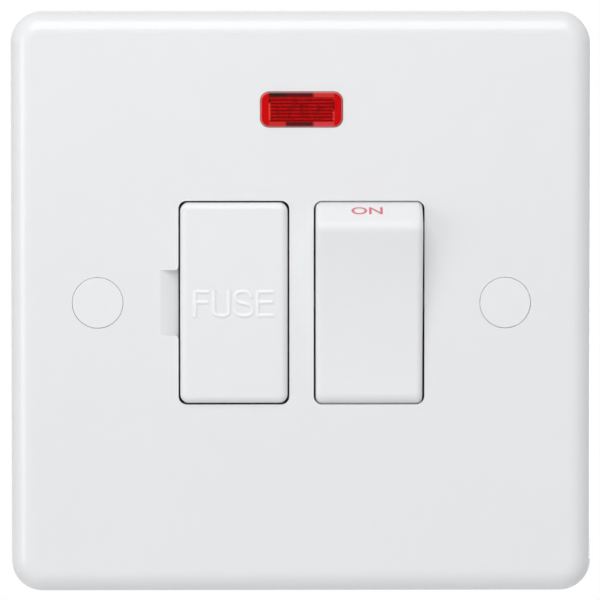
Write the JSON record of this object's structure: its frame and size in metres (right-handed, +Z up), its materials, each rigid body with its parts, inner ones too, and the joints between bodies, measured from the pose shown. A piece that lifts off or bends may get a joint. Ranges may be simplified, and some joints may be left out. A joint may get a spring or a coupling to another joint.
{
  "type": "fused spur unit",
  "caption": "White square wall accessory with a rocker switch, a pull-out fuse carrier, a red neon lens, capped fixing holes and a wired rear housing.",
  "frame": {"origin": "midway between the two fixing holes, in the wall plane that the plate's rear rim lies on", "axes": "+X to the right seen from the front, +Z up the wall, -Y out of the wall toward the viewer"},
  "size_m": [0.086, 0.0294, 0.086],
  "materials": {
    "plate_white": "glossy moulded urea, smooth",
    "carrier_white": "satin gloss moulding",
    "rocker_white": "satin gloss moulding",
    "cap_white": "glossy moulding",
    "housing_grey": "fine matt moulding",
    "lens_red": "clear red, glossy outside and ribbed inside",
    "lamp_glass": "clear",
    "brass": "bright machined",
    "spring_brass": "rolled strip",
    "contact_copper": "rolled copper strip",
    "silver": "satin silver",
    "steel": "zinc plated",
    "plunger_plastic": "smooth",
    "fuse_ceramic": "unglazed",
    "resistor_body": "lacquered"
  },
  "bodies": {
    "plate_and_housing": {"front_plate": "plate_white", "rear_housing": "housing_grey", "housing_screws": "steel", "fixed_tips": "silver", "fulcrum_line": "contact_copper", "fulcrum_neutral": "contact_copper", "fixed_contact_neutral": "contact_copper", "line_link": "contact_copper", "fuse_clip_upper": "spring_brass", "fuse_clip_lower": "spring_brass", "terminal_load_line": "brass", "terminal_load_neutral": "brass", "terminal_supply_line": "brass", "terminal_supply_neutral": "brass", "terminal_earth": "brass", "terminal_screws": "steel", "neon_lens": "lens_red", "neon_glass": "lamp_glass", "neon_electrodes": "steel", "neon_leads": "steel", "neon_resistor": "resistor_body"},
    "rocker": {"switch_rocker": "rocker_white", "spring_line": "steel", "spring_neutral": "steel"},
    "plunger_l": {"plunger_line": "plunger_plastic"},
    "plunger_n": {"plunger_neutral": "plunger_plastic"},
    "seesaw_l": {"moving_contact_line": "contact_copper", "moving_tip_line": "silver"},
    "seesaw_n": {"moving_contact_neutral": "contact_copper", "moving_tip_neutral": "silver"},
    "carrier": {"fuse_carrier": "carrier_white", "fuse_tube": "fuse_ceramic", "fuse_end_caps": "silver"},
    "cap_left": {"screw_cap_left": "cap_white"},
    "cap_right": {"screw_cap_right": "cap_white"}
  },
  "joints": [
    {"name": "rocker_tilt", "type": "hinge", "parent": "plate_and_housing", "child": "rocker", "pos_m": [0.01, -0.003, 0], "axis": [-1, 0, 0], "range_deg": [0, 17.35]},
    {"name": "seesaw_line_tilt", "type": "hinge", "parent": "plate_and_housing", "child": "seesaw_l", "pos_m": [0.0062, 0.0073, 0], "axis": [1, 0, 0], "range_deg": [0, 14]},
    {"name": "seesaw_neutral_tilt", "type": "hinge", "parent": "plate_and_housing", "child": "seesaw_n", "pos_m": [0.0138, 0.0073, 0], "axis": [1, 0, 0], "range_deg": [0, 14]},
    {"name": "plunger_line_slide", "type": "slide", "parent": "rocker", "child": "plunger_l", "axis": [0, -0.9886, -0.1509], "range_m": [0, 0.001], "stiffness_N_per_m": 400, "deforming": ["spring_line"]},
    {"name": "plunger_neutral_slide", "type": "slide", "parent": "rocker", "child": "plunger_n", "axis": [0, -0.9886, -0.1509], "range_m": [0, 0.001], "stiffness_N_per_m": 400, "deforming": ["spring_neutral"]},
    {"name": "fuse_carrier_slide", "type": "slide", "parent": "plate_and_housing", "child": "carrier", "axis": [0, -1, 0], "range_m": [0, 0.0145]},
    {"name": "cap_left_pull", "type": "slide", "parent": "plate_and_housing", "child": "cap_left", "axis": [0, -1, 0], "range_m": [0, 0.008]},
    {"name": "cap_right_pull", "type": "slide", "parent": "plate_and_housing", "child": "cap_right", "axis": [0, -1, 0], "range_m": [0, 0.008]}
  ],
  "couplings": [
    {"joint": "seesaw_line_tilt", "follows": "rocker_tilt", "ratio": 0.8065},
    {"joint": "seesaw_neutral_tilt", "follows": "rocker_tilt", "ratio": 0.8065}
  ]
}
